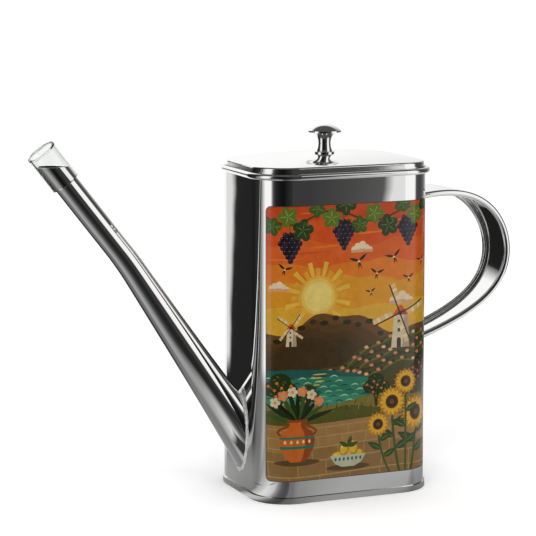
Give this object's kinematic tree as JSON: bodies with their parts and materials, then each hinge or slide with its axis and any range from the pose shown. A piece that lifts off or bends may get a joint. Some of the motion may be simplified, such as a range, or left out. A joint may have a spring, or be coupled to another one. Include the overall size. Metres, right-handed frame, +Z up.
{
  "type": "oil can",
  "caption": "Rectangular sheet-metal oil can with rounded corners, a long slanting pouring spout with a clear cap, a lift-off lid with a knob, a strap handle and a picture on its front.",
  "frame": {"origin": "centre of the can's body, on the surface that it stands on", "axes": "+X from the spout towards the handle, -Y the way the picture faces, +Z up"},
  "size_m": [0.2328, 0.0674, 0.1688],
  "materials": {
    "polished_steel": "mirror-polished stainless steel",
    "satin_steel": "satin stainless steel",
    "printed_sheet": null,
    "clear_plastic": "clear, glossy"
  },
  "bodies": {
    "can": {"body_shell": "polished_steel", "base_pan": "satin_steel", "picture_sheet": "printed_sheet", "spout_tube": "polished_steel", "spout_joint": "satin_steel", "handle_strap": "polished_steel"},
    "lid": {"lid_cover": "polished_steel", "lid_plug": "satin_steel", "knob": "polished_steel", "knob_washer": "satin_steel", "knob_screw": "satin_steel"},
    "cap": {"spout_cap": "clear_plastic"}
  },
  "joints": [
    {"name": "lid_lift", "type": "slide", "parent": "can", "child": "lid", "axis": [0, 0, 1], "range_m": [0, 0.04]},
    {"name": "cap_pull", "type": "slide", "parent": "can", "child": "cap", "axis": [-0.6143, 0, 0.7891], "range_m": [0, 0.03]}
  ]
}
